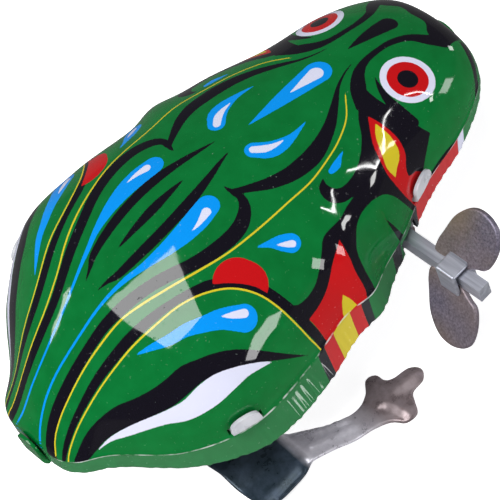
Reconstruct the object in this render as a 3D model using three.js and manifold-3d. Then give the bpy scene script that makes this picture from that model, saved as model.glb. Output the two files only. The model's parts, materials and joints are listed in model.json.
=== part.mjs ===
// Tin wind-up jumping frog: a pressed tin shell on a belly tray, with a spring-driven
// movement inside, a winding key on the frog's right and a pair of kicking hind legs.
// Millimetres, +Z up. The frog faces -Y and its right side is -X. The origin is on the
// ground, under the middle of the whole object's bounding box.
import * as THREE from "three";
import { mergeVertices } from "three/addons/utils/BufferGeometryUtils.js";
import Module from "manifold-3d";

const wasm = await Module();
wasm.setup();

// ---------------------------------------------------------------- driving dimensions
const BODY_LENGTH = 76;
const SEAM_Z = 16; // height of the seam between the dome and its skirt
const WALL = 0.5; // tin sheet
const GAP = 0.35; // clearance between neighbouring pieces

// Shell stations, evenly spaced in angle from the tail (first) to the nose (last).
const HALF_WIDTH = [3, 6.6, 9.8, 17, 21, 21, 19.2, 18, 14.6, 13, 10.7, 7.6, 3.2];
const CROWN = [0.8, 2.8, 7, 11, 15.2, 16.8, 16.4, 14.8, 13, 11.2, 8.6, 5.5, 0.8];
const BELLY_DEPTH = [1.5, 2.4, 3.6, 5.2, 7, 9, 10.2, 10.2, 9, 7, 5, 3.2, 2];
const SKIRT_DROP = [2.8, 2.9, 3.1, 3.3, 3.3, 3.3, 3.2, 3.1, 2.9, 2.5, 2, 1.6, 1.4]; // lower edge, below the seam
const SKIRT_FLARE = [0, 0.1, 0.3, 0.7, 1.8, 2.1, 1.7, 0.4, 0.2, 0.1, 0, 0, 0]; // lower edge, out from the seam
// Section fullness: 1 is an ellipse, lower is boxier, and higher leaves a ridge between hollow flanks.
const CROWN_POWER = [1.4, 1.6, 1.7, 1.3, 0.82, 0.82, 0.82, 0.82, 0.82, 0.82, 0.82, 0.82, 0.82];
const BELLY_POWER = 0.6;
const SHOULDER_S = 41.5; // distance of the shoulder bump from the tail
const SHOULDER_REACH = 3;
const SHOULDER_BUMP = 1.2;

// Movement
const ARBOR_Z = 13; // height of the key and winding arbor
const ARBOR_Y = -13;
const PLATE_X = 8; // movement plates stand at +X and -X of this
const PLATE_THICK = 0.8;
const MODULE = 0.5; // gear tooth module
const WHEEL_TEETH = 24;
const PINION_TEETH = 8;
const CENTRES = (MODULE * (WHEEL_TEETH + PINION_TEETH)) / 2;
const SECOND_ANGLE = Math.PI / 6; // direction from the winding arbor to the second arbor
const SECOND_Y = ARBOR_Y + CENTRES * Math.cos(SECOND_ANGLE);
const SECOND_Z = ARBOR_Z + CENTRES * Math.sin(SECOND_ANGLE);
const CRANK_Y = SECOND_Y + CENTRES;
const CRANK_Z = SECOND_Z;
const CRANK_RADIUS = 2.5;
const ARBOR_RADIUS = 0.8;
const WINDING_RADIUS = 1.2;

// Legs
const LEG_SHAFT_Y = 20;
const LEG_SHAFT_Z = 11.5;
const LEG_SHEET = 0.6;
const EAR_X = 13; // inner face of each leg's hinge ear
const ROCKER_PIN_Y = 18;
const ROCKER_PIN_Z = 19.5;

// Key
const WING_X = 25.1; // middle of the wings along the shaft
const WING_SHEET = 0.8;
const WING_TILT = THREE.MathUtils.degToRad(33); // top lobe leans towards the nose
// One lobe: outwards along the shaft from WING_X, and out from the shaft's axis.
const LOBE = [
  [-3.7, 1],
  [-3.8, 2.6],
  [-3.4, 4.1],
  [-2.2, 7.5],
  [-0.1, 9.7],
  [2.6, 9.9],
  [4.8, 8.5],
  [5.2, 5.8],
  [4.3, 3],
  [2.6, 2.4],
  [1.2, 1],
];
const COLLAR_IN = 23.4;
const COLLAR_OUT = 26.6;
const SHAFT_END_X = 29.9;
const SHAFT_TALL = 2.4;
const SHAFT_DEEP = 1.8;

// ---------------------------------------------------------------- materials
function metal(color, roughness, metalness) {
  return new THREE.MeshStandardMaterial({ color, roughness, metalness });
}
const printedTin = () => metal(0x04803a, 0.15, 0.1);
const bellyTin = () => metal(0x8a8a8c, 0.25, 0.3);
const legSteel = () => metal(0x8b8580, 0.3, 1);
const keySteel = () => metal(0x6c6870, 0.4, 1);
const plateSteel = () => metal(0x9da0a3, 0.4, 1);
const brass = () => metal(0xb5924a, 0.35, 1);
const springSteel = () => metal(0x4a5260, 0.35, 1);

// ---------------------------------------------------------------- small tools
function toSolid(geometry) {
  const bare = geometry.clone();
  bare.deleteAttribute("normal");
  bare.deleteAttribute("uv");
  const merged = mergeVertices(bare, 1e-4);
  return new wasm.Manifold(
    new wasm.Mesh({
      numProp: 3,
      vertProperties: new Float32Array(merged.attributes.position.array),
      triVerts: new Uint32Array(merged.index.array),
    }),
  );
}

function toGeometry(solid) {
  const mesh = solid.getMesh();
  const geometry = new THREE.BufferGeometry();
  geometry.setAttribute("position", new THREE.BufferAttribute(mesh.vertProperties, 3));
  geometry.setIndex(new THREE.BufferAttribute(mesh.triVerts, 1));
  geometry.computeVertexNormals();
  return geometry;
}

function join(...geometries) {
  const solids = geometries.map(toSolid);
  return toGeometry(solids.reduce((sum, solid) => sum.add(solid)));
}

function cut(geometry, ...tools) {
  return toGeometry(tools.map(toSolid).reduce((rest, tool) => rest.subtract(tool), toSolid(geometry)));
}

function box(x0, x1, y0, y1, z0, z1) {
  const geometry = new THREE.BoxGeometry(x1 - x0, y1 - y0, z1 - z0);
  return geometry.translate((x0 + x1) / 2, (y0 + y1) / 2, (z0 + z1) / 2);
}

// A flat outline given in (y, z), extruded along X from x0 to x1.
const ALONG_X = new THREE.Matrix4().makeBasis(
  new THREE.Vector3(0, 1, 0),
  new THREE.Vector3(0, 0, 1),
  new THREE.Vector3(1, 0, 0),
);
function alongX(shape, x0, x1, curveSegments = 8) {
  const geometry = new THREE.ExtrudeGeometry(shape, { depth: x1 - x0, bevelEnabled: false, curveSegments });
  return geometry.applyMatrix4(ALONG_X).translate(x0, 0, 0);
}

function circle(radius, y = 0, z = 0) {
  return new THREE.Shape().absarc(y, z, radius, 0, 2 * Math.PI);
}

function hole(radius, y = 0, z = 0) {
  return new THREE.Path().absarc(y, z, radius, 0, 2 * Math.PI, true);
}

function rod(radius, x0, x1, y = 0, z = 0) {
  return alongX(circle(radius, y, z), x0, x1, 8);
}

function polygon(points) {
  return new THREE.Shape(points.map(([a, b]) => new THREE.Vector2(a, b)));
}

// A closed solid through a list of rings, each ring a list of [x, y, z] points.
function loft(rings) {
  const count = rings[0].length;
  const positions = rings.flat(2);
  const index = [];
  for (let i = 0; i < rings.length - 1; i += 1) {
    for (let j = 0; j < count; j += 1) {
      const a = i * count + j;
      const b = i * count + ((j + 1) % count);
      index.push(a, b, a + count, b, b + count, a + count);
    }
  }
  const last = (rings.length - 1) * count;
  for (let j = 1; j < count - 1; j += 1) {
    index.push(0, j + 1, j);
    index.push(last, last + j, last + j + 1);
  }
  const geometry = new THREE.BufferGeometry();
  geometry.setAttribute("position", new THREE.BufferAttribute(new Float32Array(positions), 3));
  geometry.setIndex(index);
  return geometry;
}

// Smooth curve through values evenly spaced over 0..1.
function through(values, t) {
  const last = values.length - 1;
  const i = Math.min(Math.floor(t * last), last - 1);
  const f = t * last - i;
  const slope = (k) => {
    const low = Math.max(k - 1, 0);
    const high = Math.min(k + 1, last);
    return (values[high] - values[low]) / (high - low);
  };
  const f2 = f * f;
  const f3 = f2 * f;
  return (
    values[i] * (2 * f3 - 3 * f2 + 1) +
    slope(i) * (f3 - 2 * f2 + f) +
    values[i + 1] * (3 * f2 - 2 * f3) +
    slope(i + 1) * (f3 - f2)
  );
}

// ---------------------------------------------------------------- body sheet metal
const RING_STEPS = 30; // stations along the body
const ARCH_STEPS = 20; // points across the dome

function station(t) {
  const s = (BODY_LENGTH / 2) * (1 - Math.cos(Math.PI * t));
  const bump = SHOULDER_BUMP * Math.exp(-(((s - SHOULDER_S) / SHOULDER_REACH) ** 2));
  return {
    y: BODY_LENGTH / 2 - s,
    width: through(HALF_WIDTH, t) + bump,
    crown: through(CROWN, t),
    power: through(CROWN_POWER, t),
    belly: through(BELLY_DEPTH, t),
    flare: through(SKIRT_FLARE, t),
    drop: through(SKIRT_DROP, t),
  };
}

function arch(width, height, power, sign, base) {
  const points = [];
  for (let j = 0; j <= ARCH_STEPS; j += 1) {
    const angle = (Math.PI * j) / ARCH_STEPS;
    const lift = Math.max(Math.sin(angle), 0) ** power;
    points.push([width * Math.cos(angle), base + sign * height * (j === ARCH_STEPS ? 0 : lift)]);
  }
  return points;
}

// The solid inside the dome and its skirt, drawn in by inset on every side and cut off below the skirt by extra.
function domeSolid(inset, extra) {
  const rings = [];
  const squeeze = (BODY_LENGTH - 2 * inset) / BODY_LENGTH;
  for (let i = 0; i <= RING_STEPS; i += 1) {
    const { y, width, crown, power, flare, drop } = station(i / RING_STEPS);
    const foot = width - inset + (flare * (drop + extra)) / drop;
    const skirtBottom = SEAM_Z - drop - extra;
    const section = arch(width - inset, crown - inset, power, 1, SEAM_Z);
    section.push([-foot, skirtBottom], [foot, skirtBottom]);
    rings.push(section.map(([x, z]) => [x, y * squeeze, z]));
  }
  return loft(rings);
}

// The solid inside the belly tray, from its rim down.
function traySolid(inset, rimTop) {
  const rings = [];
  const squeeze = (BODY_LENGTH - 2 * inset) / BODY_LENGTH;
  const rim = SEAM_Z - 1.2;
  for (let i = RING_STEPS; i >= 0; i -= 1) {
    const { y, width, belly } = station(i / RING_STEPS);
    const half = width - inset;
    const section = arch(half, belly - (inset - WALL - GAP), BELLY_POWER, -1, rim);
    section.push([-half, rimTop], [half, rimTop]);
    rings.push(section.map(([x, z]) => [x, y * squeeze, z]));
  }
  return loft(rings);
}

const TAB_WIDTH = 4.6;
const TABS = [
  { name: "mouth_right", s: 56.2, side: -1 },
  { name: "mouth_left", s: 56.2, side: 1 },
  { name: "hind_right", s: 18.3, side: -1 },
  { name: "hind_left", s: 18.3, side: 1 },
];

function atDistance(s) {
  return station(Math.acos(1 - (2 * s) / BODY_LENGTH) / Math.PI);
}

// Local frame on the seam: x outwards, y up from the seam, z along the seam.
function seamFrame({ s, side }) {
  const { y, width } = atDistance(s);
  const slope = atDistance(s + 0.5).width - atDistance(s - 0.5).width;
  const outward = new THREE.Vector3(side, slope, 0).normalize();
  const up = new THREE.Vector3(0, 0, 1);
  const along = new THREE.Vector3().crossVectors(outward, up);
  return new THREE.Matrix4().makeBasis(outward, up, along).setPosition(side * width, y, SEAM_Z);
}

function upperShell() {
  const half = TAB_WIDTH / 2 + GAP;
  const slots = TABS.map((tab) => box(-2, 1, 0.25, 1.45, -half, half).applyMatrix4(seamFrame(tab)));
  const { width, drop } = atDistance(BODY_LENGTH / 2 - ARBOR_Y);
  const shaftSlot = box(-width - 3, -width + 3, ARBOR_Y - 1.9, ARBOR_Y + 1.9, SEAM_Z - drop - 1, ARBOR_Z + 1.9);
  return cut(domeSolid(0, 0), domeSolid(WALL, 1), ...slots, shaftSlot);
}

// Box cuts through the belly tray: foot tabs of the movement plates, and leg ears.
const PLATE_TAB_Y = [-9, 9];
const PLATE_TAB_LENGTH = 4;

function bellyPlate() {
  const tray = cut(traySolid(WALL + GAP, SEAM_Z - 0.5), traySolid(2 * WALL + GAP, SEAM_Z + 1));
  const cuts = [];
  for (const side of [-1, 1]) {
    const plateX = side * PLATE_X;
    for (const y of PLATE_TAB_Y) {
      const half = PLATE_TAB_LENGTH / 2 + GAP;
      const thick = PLATE_THICK / 2 + GAP;
      cuts.push(box(plateX - thick, plateX + thick, y - half, y + half, 0, SEAM_Z - 5));
    }
    const earX = side * (EAR_X + LEG_SHEET / 2);
    cuts.push(box(earX - 1.2, earX + 1.2, 9, 26.5, 0, SEAM_Z - 4));
  }
  cuts.push(rod(1.9, -30, -10, ARBOR_Y, ARBOR_Z));
  return cut(tray, ...cuts);
}

// A bent tab: up from the tray's rim, out through its slot and folded up over the dome.
function bentTab(tab) {
  const inside = -WALL - GAP;
  const outline = polygon([
    [inside - WALL, -0.2],
    [inside, -0.2],
    [inside, 0.6],
    [0.8, 0.6],
    [0.8, 2.6],
    [0.3, 3],
    [0.3, 1.1],
    [inside - WALL, 1.1],
  ]);
  const geometry = new THREE.ExtrudeGeometry(outline, { depth: TAB_WIDTH, bevelEnabled: false });
  return geometry.translate(0, 0, -TAB_WIDTH / 2).applyMatrix4(seamFrame(tab));
}

// At the tail and the nose a tab folds up round the skirt's lower edge.
function endTab(facing) {
  const low = -(facing > 0 ? SKIRT_DROP[0] : SKIRT_DROP.at(-1)) - GAP;
  const outline = polygon([
    [-0.7, low - WALL],
    [0.8, low - WALL],
    [0.8, 0.6],
    [GAP, 1],
    [GAP, low],
    [-0.7, low],
  ]);
  const basis = new THREE.Matrix4().makeBasis(
    new THREE.Vector3(0, facing, 0),
    new THREE.Vector3(0, 0, 1),
    new THREE.Vector3(facing, 0, 0),
  );
  basis.setPosition(0, (facing * BODY_LENGTH) / 2, SEAM_Z);
  const geometry = new THREE.ExtrudeGeometry(outline, { depth: TAB_WIDTH, bevelEnabled: false });
  return geometry.translate(0, 0, -TAB_WIDTH / 2).applyMatrix4(basis);
}

// ---------------------------------------------------------------- wheels
// Clock teeth: straight flanks and a rounded tip, with a tooth centred on angle phase.
function toothedOutline(teeth, phase, rootWidth, pitchWidth, addendum, dedendum) {
  const pitchRadius = (MODULE * teeth) / 2;
  const step = (2 * Math.PI) / teeth;
  const root = pitchRadius - dedendum * MODULE;
  const tip = pitchRadius + addendum * MODULE;
  const points = [];
  for (let k = 0; k < teeth; k += 1) {
    const middle = phase + k * step;
    const corners = [
      [root, -rootWidth],
      [pitchRadius, -pitchWidth],
      [tip, -pitchWidth * 0.35],
      [tip, pitchWidth * 0.35],
      [pitchRadius, pitchWidth],
      [root, rootWidth],
    ];
    for (const [radius, share] of corners) {
      const angle = middle + share * step;
      points.push([radius * Math.cos(angle), radius * Math.sin(angle)]);
    }
  }
  return polygon(points);
}

function wheelOutline(phase) {
  return toothedOutline(WHEEL_TEETH, phase, 0.23, 0.21, 0.85, 1.2);
}

function pinionOutline(phase) {
  return toothedOutline(PINION_TEETH, phase, 0.13, 0.15, 0.7, 1.25);
}

function wheel(x0, x1, phase, bore) {
  const outline = wheelOutline(phase);
  outline.holes.push(hole(bore));
  return alongX(outline, x0, x1);
}

function greatWheel() {
  return wheel(-0.6, 0.2, SECOND_ANGLE, WINDING_RADIUS + GAP);
}

function secondArbor() {
  const phase = SECOND_ANGLE + Math.PI + Math.PI / PINION_TEETH;
  const pinion = alongX(pinionOutline(phase), -0.9, 0.9);
  return join(rod(ARBOR_RADIUS, -8.9, 8.9), pinion);
}

// The crank disc hangs outside the left movement plate, so that its link can pass the arbor.
const CRANK_X = PLATE_X + PLATE_THICK / 2 + GAP;
const CRANK_THICK = 0.8;
const ROCKER_X = CRANK_X + 0.75;
const LINK_X = CRANK_X + 2;
const LINK_THICK = 0.6;
const PIN_RADIUS = 0.6;

function crankArbor() {
  const phase = Math.PI + Math.PI / PINION_TEETH;
  const pinion = alongX(pinionOutline(phase), 1, 2.4);
  return join(rod(ARBOR_RADIUS, -8.9, CRANK_X + CRANK_THICK), pinion);
}

function crankDisc() {
  const disc = circle(CRANK_RADIUS + 1.2);
  disc.holes.push(hole(ARBOR_RADIUS + GAP));
  const pin = rod(PIN_RADIUS, CRANK_X + 0.4, LINK_X - GAP, CRANK_RADIUS, 0);
  return join(alongX(disc, CRANK_X, CRANK_X + CRANK_THICK, 12), pin);
}

function ratchetWheel() {
  const teeth = 12;
  const points = [];
  for (let k = 0; k < teeth; k += 1) {
    const angle = (2 * Math.PI * k) / teeth;
    const back = angle + (2 * Math.PI * 0.12) / teeth;
    points.push([3.2 * Math.cos(angle), 3.2 * Math.sin(angle)]);
    points.push([2.5 * Math.cos(back), 2.5 * Math.sin(back)]);
  }
  const outline = polygon(points);
  outline.holes.push(hole(WINDING_RADIUS + GAP));
  return alongX(outline, -1.8, -1);
}

// The click lies beside the ratchet wheel, on a rivet in the great wheel.
const CLICK_Y = 3.2;
const CLICK_Z = 3.4;
function click() {
  const outline = polygon([
    [CLICK_Y + 0.9, CLICK_Z],
    [CLICK_Y + 0.5, CLICK_Z + 0.9],
    [CLICK_Y - 0.5, CLICK_Z + 0.9],
    [0.9, 4.1],
    [0.5, 3.6],
    [CLICK_Y - 0.7, CLICK_Z - 0.3],
    [CLICK_Y, CLICK_Z - 0.9],
  ]);
  outline.holes.push(hole(0.4, CLICK_Y, CLICK_Z));
  return alongX(outline, -1.8, -1, 6);
}

function mainspring() {
  const turns = 5;
  const steps = turns * 18;
  const inner = WINDING_RADIUS + GAP + 0.2;
  const outer = 6.3;
  const thick = 0.3;
  const edge = (offset) => (k) => {
    const angle = (2 * Math.PI * turns * k) / steps;
    const radius = inner + ((outer - inner) * k) / steps + offset;
    return [radius * Math.cos(angle), radius * Math.sin(angle)];
  };
  const ks = Array.from({ length: steps + 1 }, (_, k) => k);
  const outline = polygon([...ks.map(edge(thick)), ...ks.reverse().map(edge(0))]);
  return alongX(outline, -7, -2.2);
}

// ---------------------------------------------------------------- movement frame
const PILLARS = [
  { name: "pillar_front", y: -20, z: 17 },
  { name: "pillar_top", y: -4, z: 26 },
  { name: "pillar_rear", y: 12, z: 22 },
];

function movementPlate() {
  const outline = polygon([
    [-21.5, 10],
    [-16, 8],
    [-11, 7.4],
    [-11, 5.6],
    [-7, 5.6],
    [-7, 7.4],
    [7, 7.4],
    [7, 5.8],
    [11, 5.8],
    [11, 8.4],
    [19, 9.9],
    [21.6, 10],
    [22, 13.4],
    [15, 24],
    [-1, 27.6],
    [-10, 26],
    [-21.5, 19],
  ]);
  const bores = [
    [ARBOR_Y, ARBOR_Z, WINDING_RADIUS],
    [SECOND_Y, SECOND_Z, ARBOR_RADIUS],
    [CRANK_Y, CRANK_Z, ARBOR_RADIUS],
    [LEG_SHAFT_Y, LEG_SHAFT_Z, 1],
  ];
  for (const [y, z, radius] of bores) {
    outline.holes.push(hole(radius + GAP, y, z));
  }
  return alongX(outline, -PLATE_THICK / 2, PLATE_THICK / 2, 8);
}

// ---------------------------------------------------------------- key
function windingArbor() {
  const flat = box(-SHAFT_END_X, -10, -SHAFT_DEEP / 2, SHAFT_DEEP / 2, -SHAFT_TALL / 2, SHAFT_TALL / 2);
  return join(rod(WINDING_RADIUS, -10.4, 9), flat);
}

// The wing sheet lies in a plane through the shaft, and is folded round it as a square collar.
function keyWings() {
  const lobes = [0, Math.PI].map((half) => {
    const outline = polygon(LOBE.map(([along, out]) => [-WING_X - along, out]));
    const lobe = new THREE.ExtrudeGeometry(outline, { depth: WING_SHEET, bevelEnabled: false });
    lobe.translate(0, 0, -WING_SHEET / 2);
    return lobe.rotateX(Math.PI / 2 + WING_TILT + half);
  });
  const collar = box(-COLLAR_OUT, -COLLAR_IN, -1.9, 1.9, -2.2, 2.2);
  const bore = box(-32, -20, -SHAFT_DEEP / 2 - 0.3, SHAFT_DEEP / 2 + 0.3, -SHAFT_TALL / 2 - 0.3, SHAFT_TALL / 2 + 0.3);
  return cut(join(...lobes, collar), bore);
}

// ---------------------------------------------------------------- legs
// All leg outlines are for the frog's left leg; the right leg is its mirror image.
function mirrorX(geometry) {
  const mirrored = geometry.clone().applyMatrix4(new THREE.Matrix4().makeScale(-1, 1, 1));
  const order = mirrored.index.array;
  for (let k = 0; k < order.length; k += 3) {
    [order[k + 1], order[k + 2]] = [order[k + 2], order[k + 1]];
  }
  return mirrored;
}

// A sheet strip: each section is [y, xInner, xOuter, z] with z its lower face.
function strip(sections, thick) {
  return loft(
    sections.map(([y, x0, x1, z]) => [
      [x0, y, z],
      [x1, y, z],
      [x1, y, z + thick],
      [x0, y, z + thick],
    ]),
  );
}

function hindLeg() {
  const ear = alongX(
    polygon([
      [LEG_SHAFT_Y - 2, LEG_SHAFT_Z + 1.2],
      [LEG_SHAFT_Y - 3.5, 6],
      [LEG_SHAFT_Y - 3.5, 5],
      [LEG_SHAFT_Y + 2.6, 5],
      [LEG_SHAFT_Y + 2.6, 6],
      [LEG_SHAFT_Y + 2, LEG_SHAFT_Z + 1.2],
      [LEG_SHAFT_Y, LEG_SHAFT_Z + 2],
    ]),
    EAR_X,
    EAR_X + LEG_SHEET,
  );
  const kneeTop = [
    [EAR_X, 5.6],
    [17, 5.4],
    [20, 4.4],
    [22, 3],
    [22.8, 1.6],
  ];
  const kneeShape = polygon([...kneeTop, ...kneeTop.map(([x, z]) => [x, z - LEG_SHEET]).reverse()]);
  const knee = new THREE.ExtrudeGeometry(kneeShape, { depth: 7.6, bevelEnabled: false });
  knee.applyMatrix4(
    new THREE.Matrix4().makeBasis(new THREE.Vector3(1, 0, 0), new THREE.Vector3(0, 0, 1), new THREE.Vector3(0, -1, 0)),
  );
  knee.translate(0, 23.2, 0);
  const shin = strip(
    [
      [17.2, 17.6, 22.8, 3],
      [15, 17.6, 23, 2.3],
      [12, 18.9, 23.6, 1.6],
      [9, 20.6, 24.6, 0.9],
      [6, 21.3, 25, 0.3],
      [3, 21.3, 25.6, 0],
    ],
    LEG_SHEET,
  );
  const toes = new THREE.ExtrudeGeometry(
    polygon([
      [21.3, 5],
      [21.2, 3.4],
      [19.8, 1.6],
      [20.6, 0.6],
      [22, 0.2],
      [23, -2.6],
      [24.2, -3.6],
      [25.2, -2.6],
      [25.2, -0.2],
      [27.6, 0.6],
      [28.2, 2],
      [27, 3.4],
      [25.2, 5],
    ]),
    { depth: LEG_SHEET, bevelEnabled: false },
  );
  return cut(join(ear, knee, shin, toes), rod(1 + GAP, EAR_X - 1, EAR_X + 2, LEG_SHAFT_Y, LEG_SHAFT_Z));
}

function legRocker() {
  const arm = polygon([
    [LEG_SHAFT_Y - 1.9, LEG_SHAFT_Z - 0.6],
    [LEG_SHAFT_Y - 0.9, LEG_SHAFT_Z - 1.8],
    [LEG_SHAFT_Y + 0.9, LEG_SHAFT_Z - 1.8],
    [LEG_SHAFT_Y + 1.9, LEG_SHAFT_Z - 0.6],
    [LEG_SHAFT_Y + 2, LEG_SHAFT_Z + 1],
    [ROCKER_PIN_Y + 1.2, ROCKER_PIN_Z + 1],
    [ROCKER_PIN_Y - 1.2, ROCKER_PIN_Z + 1],
    [LEG_SHAFT_Y - 2.4, LEG_SHAFT_Z + 1],
  ]);
  arm.holes.push(hole(1 + GAP, LEG_SHAFT_Y, LEG_SHAFT_Z));
  const pin = rod(PIN_RADIUS, ROCKER_X + 0.4, LINK_X + LINK_THICK + 0.3, ROCKER_PIN_Y, ROCKER_PIN_Z);
  return join(alongX(arm, ROCKER_X, ROCKER_X + 0.8), pin);
}

function pushLink() {
  const crankEnd = [CRANK_Y + CRANK_RADIUS, CRANK_Z];
  const rockerEnd = [ROCKER_PIN_Y, ROCKER_PIN_Z];
  const bar = polygon([
    [crankEnd[0], crankEnd[1] - 0.9],
    [rockerEnd[0], rockerEnd[1] - 0.9],
    [rockerEnd[0], rockerEnd[1] + 0.9],
    [crankEnd[0], crankEnd[1] + 0.9],
  ]);
  const far = LINK_X + LINK_THICK;
  const eyes = [crankEnd, rockerEnd].map(([y, z]) => alongX(circle(1.5, y, z), LINK_X, far));
  const bores = [crankEnd, rockerEnd].map(([y, z]) => rod(PIN_RADIUS + GAP, LINK_X - 1, far + 1, y, z));
  return cut(join(alongX(bar, LINK_X, far), ...eyes), ...bores);
}

function frontLeg() {
  const stem = box(5, 8, -15, -14.4, 0, 5.4);
  const foot = new THREE.ExtrudeGeometry(
    polygon([
      [5, -14.4],
      [3.6, -18.4],
      [5, -19.2],
      [6.5, -18],
      [8, -19.2],
      [9.4, -18.4],
      [8, -14.4],
    ]),
    { depth: LEG_SHEET, bevelEnabled: false },
  );
  return join(stem, foot);
}

function returnSpring() {
  const coils = 5;
  const steps = coils * 10;
  const points = [];
  for (let k = 0; k <= steps; k += 1) {
    const angle = (2 * Math.PI * coils * k) / steps;
    points.push(
      new THREE.Vector3(-5.6 + (2.6 * k) / steps, LEG_SHAFT_Y + 1.75 * Math.cos(angle), LEG_SHAFT_Z + 1.75 * Math.sin(angle)),
    );
  }
  const path = new THREE.CatmullRomCurve3(points);
  const section = new THREE.Shape().absarc(0, 0, 0.2, 0, 2 * Math.PI);
  return new THREE.ExtrudeGeometry(section, { steps, extrudePath: path, curveSegments: 3, bevelEnabled: false });
}

// ---------------------------------------------------------------- assembly
const frog = new THREE.Group();

function place(parent, name, geometry, material, position = [0, 0, 0]) {
  const mesh = new THREE.Mesh(geometry, material);
  mesh.name = name;
  mesh.position.set(...position);
  parent.add(mesh);
  return mesh;
}

place(frog, "upper_shell", upperShell(), printedTin());
place(frog, "belly_plate", bellyPlate(), bellyTin());
for (const tab of TABS) {
  place(frog, `tab_${tab.name}`, bentTab(tab), plateSteel());
}

place(frog, "tab_tail", endTab(1), printedTin());
place(frog, "tab_nose", endTab(-1), printedTin());

place(frog, "movement_plate_right", movementPlate(), plateSteel(), [-PLATE_X, 0, 0]);
place(frog, "movement_plate_left", movementPlate(), plateSteel(), [PLATE_X, 0, 0]);
const pillarEnd = PLATE_X - PLATE_THICK / 2 - GAP;
for (const { name, y, z } of PILLARS) {
  place(frog, name, rod(0.9, -pillarEnd, pillarEnd), plateSteel(), [0, y, z]);
}

const windingLine = new THREE.Group();
windingLine.position.set(0, ARBOR_Y, ARBOR_Z);
frog.add(windingLine);
place(windingLine, "winding_arbor", windingArbor(), plateSteel());
place(windingLine, "key_wings", keyWings(), keySteel());
place(windingLine, "ratchet_wheel", ratchetWheel(), plateSteel());
place(windingLine, "great_wheel", greatWheel(), brass());
place(windingLine, "click", click(), plateSteel());
place(windingLine, "mainspring", mainspring(), springSteel());

const secondLine = new THREE.Group();
secondLine.position.set(0, SECOND_Y, SECOND_Z);
frog.add(secondLine);
place(secondLine, "second_arbor", secondArbor(), plateSteel());
place(secondLine, "second_wheel", wheel(1.2, 2, 0, ARBOR_RADIUS + GAP), brass());

const crankLine = new THREE.Group();
crankLine.position.set(0, CRANK_Y, CRANK_Z);
frog.add(crankLine);
place(crankLine, "crank_arbor", crankArbor(), plateSteel());
place(crankLine, "crank_disc", crankDisc(), brass());

place(frog, "leg_shaft", rod(1, -15, 15), plateSteel(), [0, LEG_SHAFT_Y, LEG_SHAFT_Z]);
place(frog, "leg_rocker", legRocker(), plateSteel());
place(frog, "push_link", pushLink(), plateSteel());
place(frog, "leg_return_spring", returnSpring(), springSteel());
place(frog, "hind_leg_left", hindLeg(), legSteel());
place(frog, "hind_leg_right", mirrorX(hindLeg()), legSteel());
place(frog, "front_leg_left", frontLeg(), legSteel());
place(frog, "front_leg_right", mirrorX(frontLeg()), legSteel());

// Put the origin on the ground under the middle of the bounding box.
const bounds = new THREE.Box3().setFromObject(frog);
frog.position.set(-(bounds.min.x + bounds.max.x) / 2, -(bounds.min.y + bounds.max.y) / 2, -bounds.min.z);
frog.updateMatrixWorld(true);

export default frog;
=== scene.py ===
"""Tin wind-up jumping frog: the looks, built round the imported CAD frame.

World axes are the frame's: metres, +Z up, the frog faces -Y and its right side is -X.
The printed body is worked in millimetres on its own surface: s runs from the tail to the
nose, and across is the distance over the sheet from the crown line, positive to the right.
"""

import json
import math

import bmesh
import bpy
import numpy as np
from mathutils import Matrix, Vector
from mathutils.geometry import delaunay_2d_cdt


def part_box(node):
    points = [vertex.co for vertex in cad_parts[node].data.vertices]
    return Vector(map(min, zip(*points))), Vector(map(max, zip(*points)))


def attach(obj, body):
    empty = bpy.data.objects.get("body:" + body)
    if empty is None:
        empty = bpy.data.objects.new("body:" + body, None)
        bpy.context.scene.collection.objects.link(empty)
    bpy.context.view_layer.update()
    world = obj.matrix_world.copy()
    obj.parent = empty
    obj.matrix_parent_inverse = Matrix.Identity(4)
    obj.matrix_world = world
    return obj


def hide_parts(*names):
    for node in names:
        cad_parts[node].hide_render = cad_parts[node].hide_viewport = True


MM = 0.001

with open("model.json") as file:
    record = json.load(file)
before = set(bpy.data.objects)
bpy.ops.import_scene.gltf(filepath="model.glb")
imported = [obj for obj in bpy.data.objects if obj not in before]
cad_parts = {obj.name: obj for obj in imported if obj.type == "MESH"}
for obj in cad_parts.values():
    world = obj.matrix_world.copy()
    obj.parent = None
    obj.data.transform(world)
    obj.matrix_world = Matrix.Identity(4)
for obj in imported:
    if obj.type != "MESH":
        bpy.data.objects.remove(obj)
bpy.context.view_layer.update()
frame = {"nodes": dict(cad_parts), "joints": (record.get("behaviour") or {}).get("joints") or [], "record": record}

# ---- places taken from the frame
shell_low, shell_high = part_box("upper_shell")
MID_X = (shell_low.x + shell_high.x) / 2
TAIL_Y = shell_high.y
BODY_LENGTH = (shell_high.y - shell_low.y) / MM
JOINTS = {joint["name"]: Vector(joint["pos_m"]) for joint in frame["joints"]}
KEY_AXIS = JOINTS["key_wind"]
SEAM_Z = KEY_AXIS.z + 3 * MM  # the seam runs this far above the key's shaft
LEG_AXIS = JOINTS["hind_leg_kick"]


def at(x, y, z):
    """A point x millimetres from the middle of the body, with y and z from the frame's origin."""
    return Vector((MID_X + x * MM, y * MM, z * MM))


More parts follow.
